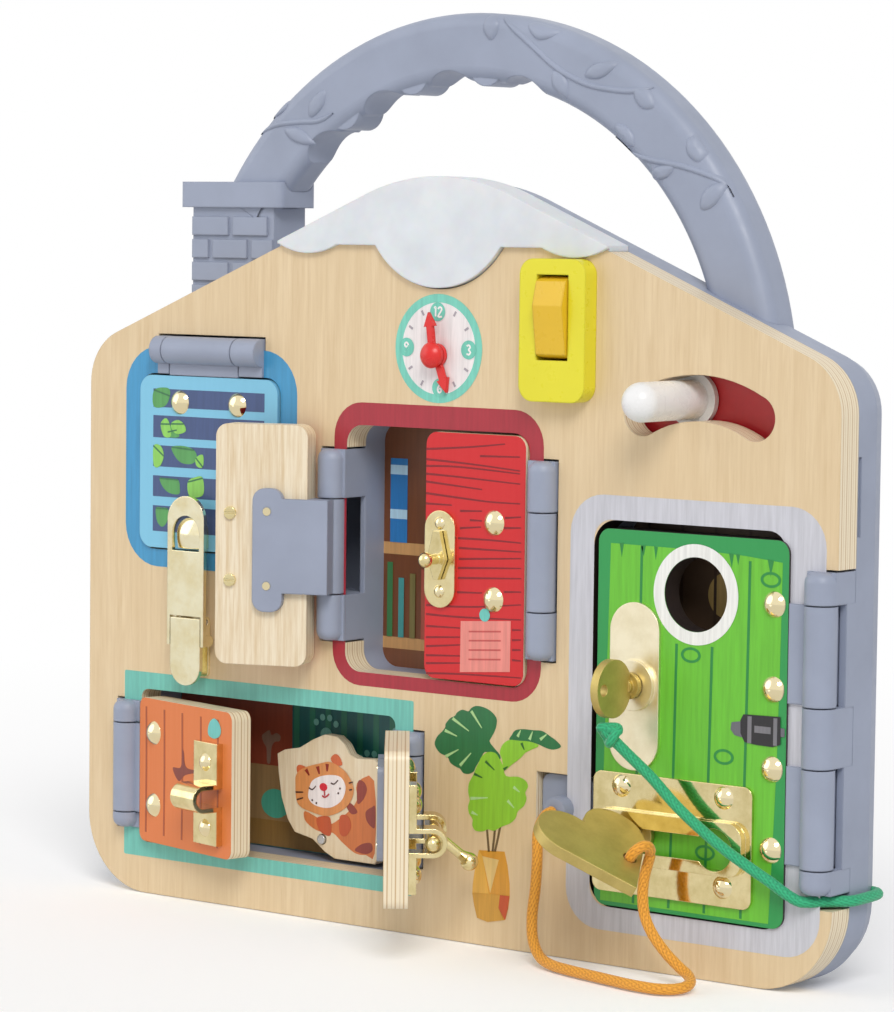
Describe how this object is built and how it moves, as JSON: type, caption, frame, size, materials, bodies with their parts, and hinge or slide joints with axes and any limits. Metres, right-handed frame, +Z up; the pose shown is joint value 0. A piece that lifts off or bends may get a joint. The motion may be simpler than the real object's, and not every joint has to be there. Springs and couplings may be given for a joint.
{
  "type": "wooden busy board",
  "caption": "House-shaped activity board with a carry handle, hinged doors and shutters, latches, a lock, a clock, a lamp and a curved slide for small hands.",
  "frame": {"origin": "centre of the flat bottom face, halfway between the plywood's front and the housing's back", "axes": "+X to the right seen from the front, +Z up, the front faces -Y"},
  "size_m": [0.2938, 0.0812, 0.2865],
  "materials": {
    "grey_plastic": "satin",
    "plywood": "clear lacquer",
    "lamp_white": "translucent",
    "yellow_plastic": "gloss",
    "amber_plastic": "gloss",
    "black_plastic": "matte",
    "white_plastic": "gloss",
    "red_plastic": "gloss",
    "board_green": "matte",
    "steel": "brushed",
    "rivet_chrome": "polished",
    "brass": "polished",
    "cell_metal": "satin",
    "card": "printed",
    "blue_wood": "painted",
    "natural_wood": "lacquered",
    "white_wood": "painted",
    "red_wood": "painted",
    "orange_wood": "painted",
    "green_wood": "painted",
    "cat_wood": "printed",
    "orange_cord": "braided",
    "green_cord": "braided"
  },
  "bodies": {
    "board": {"housing": "grey_plastic", "handle": "grey_plastic", "panel": "plywood", "steel_pins": "steel", "case_screws": "steel", "battery_cells": "cell_metal", "battery_door": "grey_plastic", "lamp_cap": "lamp_white", "lamp_board": "board_green", "lamp_leds": "white_plastic", "switch_bezel": "yellow_plastic", "lamp_switch": "black_plastic", "garden_card": "card", "shelf_card": "card", "den_card": "card", "porch_card": "card", "slide_card": "card", "latch_base": "brass", "green_cord_side": "green_cord"},
    "rocker": {"lamp_rocker": "amber_plastic"},
    "peg": {"slide_peg": "white_plastic"},
    "long_hand": {"clock_long_hand": "red_plastic"},
    "short_hand": {"clock_short_hand": "red_plastic"},
    "window": {"blue_window": "blue_wood", "blue_window_hinge": "grey_plastic", "blue_window_rivets": "rivet_chrome", "window_keeper": "brass"},
    "lever": {"latch_lever": "brass"},
    "bail": {"latch_bail": "brass"},
    "shutter_left": {"left_shutter": "natural_wood", "left_shutter_hinge": "grey_plastic", "left_shutter_rivets": "rivet_chrome", "left_shutter_strike": "brass", "left_shutter_screws": "brass"},
    "shutter_right": {"right_shutter": "red_wood", "right_shutter_hinge": "grey_plastic", "right_shutter_rivets": "rivet_chrome", "knob_plate": "brass"},
    "knob": {"turn_knob": "brass"},
    "den_door_left": {"den_left_door": "orange_wood", "den_left_hinge": "grey_plastic", "den_left_rivets": "rivet_chrome", "bolt_keeper": "brass"},
    "den_door_right": {"den_right_door": "white_wood", "den_right_hinge": "grey_plastic", "den_right_rivets": "rivet_chrome", "bolt_straps": "brass"},
    "bolt": {"bolt_rod": "brass"},
    "cat_figure": {"cat": "cat_wood"},
    "door": {"front_door": "green_wood", "front_door_hinge": "grey_plastic", "front_door_rivets": "rivet_chrome", "lock_plate": "brass", "hasp_plate": "brass", "green_cord_door": "green_cord"},
    "door_key": {"key": "brass"},
    "heart_bolt": {"heart": "brass", "orange_cord": "orange_cord"}
  },
  "joints": [
    {"name": "rocker_tilt", "type": "hinge", "parent": "board", "child": "rocker", "pos_m": [0.0472, -0.016, 0.1939], "axis": [-1, 0, 0], "range_deg": [0, 12]},
    {"name": "peg_slide", "type": "hinge", "parent": "board", "child": "peg", "pos_m": [0.0961, -0.015, 0.1308], "axis": [0, 1, 0], "range_deg": [-15.5, 41]},
    {"name": "long_hand_turn", "type": "hinge", "parent": "board", "child": "long_hand", "pos_m": [0, -0.018, 0.1812], "axis": [0, 1, 0], "continuous": true},
    {"name": "short_hand_turn", "type": "hinge", "parent": "board", "child": "short_hand", "pos_m": [0, -0.016, 0.1812], "axis": [0, 1, 0], "continuous": true},
    {"name": "window_lift", "type": "hinge", "parent": "board", "child": "window", "pos_m": [-0.0924, -0.016, 0.1796], "axis": [-1, 0, 0], "range_deg": [0, 3]},
    {"name": "latch_lever_turn", "type": "hinge", "parent": "board", "child": "lever", "pos_m": [-0.0973, -0.0182, 0.092], "axis": [-1, 0, 0], "range_deg": [0, 100]},
    {"name": "bail_pivot", "type": "hinge", "parent": "lever", "child": "bail", "pos_m": [-0.0973, -0.0182, 0.086], "axis": [-1, 0, 0], "range_deg": [-100, 0]},
    {"name": "left_shutter_swing", "type": "hinge", "parent": "board", "child": "shutter_left", "pos_m": [-0.041, -0.016, 0.12], "axis": [0, 0, 1], "range_deg": [0, 160]},
    {"name": "right_shutter_swing", "type": "hinge", "parent": "board", "child": "shutter_right", "pos_m": [0.041, -0.016, 0.12], "axis": [0, 0, 1], "range_deg": [0, 130]},
    {"name": "knob_turn", "type": "hinge", "parent": "shutter_right", "child": "knob", "pos_m": [0.0029, -0.019, 0.1186], "axis": [0, 1, 0], "range_deg": [-90, 90]},
    {"name": "left_den_door_swing", "type": "hinge", "parent": "board", "child": "den_door_left", "pos_m": [-0.1273, -0.016, 0.042], "axis": [0, 0, 1], "range_deg": [-135, 13.4]},
    {"name": "right_den_door_swing", "type": "hinge", "parent": "board", "child": "den_door_right", "pos_m": [-0.0089, -0.016, 0.042], "axis": [0, 0, 1], "range_deg": [-128, 12]},
    {"name": "bolt_slide", "type": "slide", "parent": "den_door_right", "child": "bolt", "axis": [0.6157, -0.788, 0], "range_m": [0, 0.013]},
    {"name": "cat_tilt", "type": "hinge", "parent": "board", "child": "cat_figure", "pos_m": [-0.052, -0.004, 0.024], "axis": [0, 1, 0], "range_deg": [-14, 2]},
    {"name": "front_door_swing", "type": "hinge", "parent": "board", "child": "door", "pos_m": [0.14, -0.016, 0.076], "axis": [0, 0, 1], "range_deg": [0, 110]},
    {"name": "key_turn", "type": "hinge", "parent": "door", "child": "door_key", "pos_m": [0.0762, -0.021, 0.0856], "axis": [0, 1, 0], "range_deg": [0, 90]},
    {"name": "heart_slide", "type": "slide", "parent": "door", "child": "heart_bolt", "axis": [1, 0, 0], "range_m": [0, 0.022]}
  ],
  "couplings": [
    {"joint": "bail_pivot", "follows": "latch_lever_turn", "ratio": -1}
  ]
}
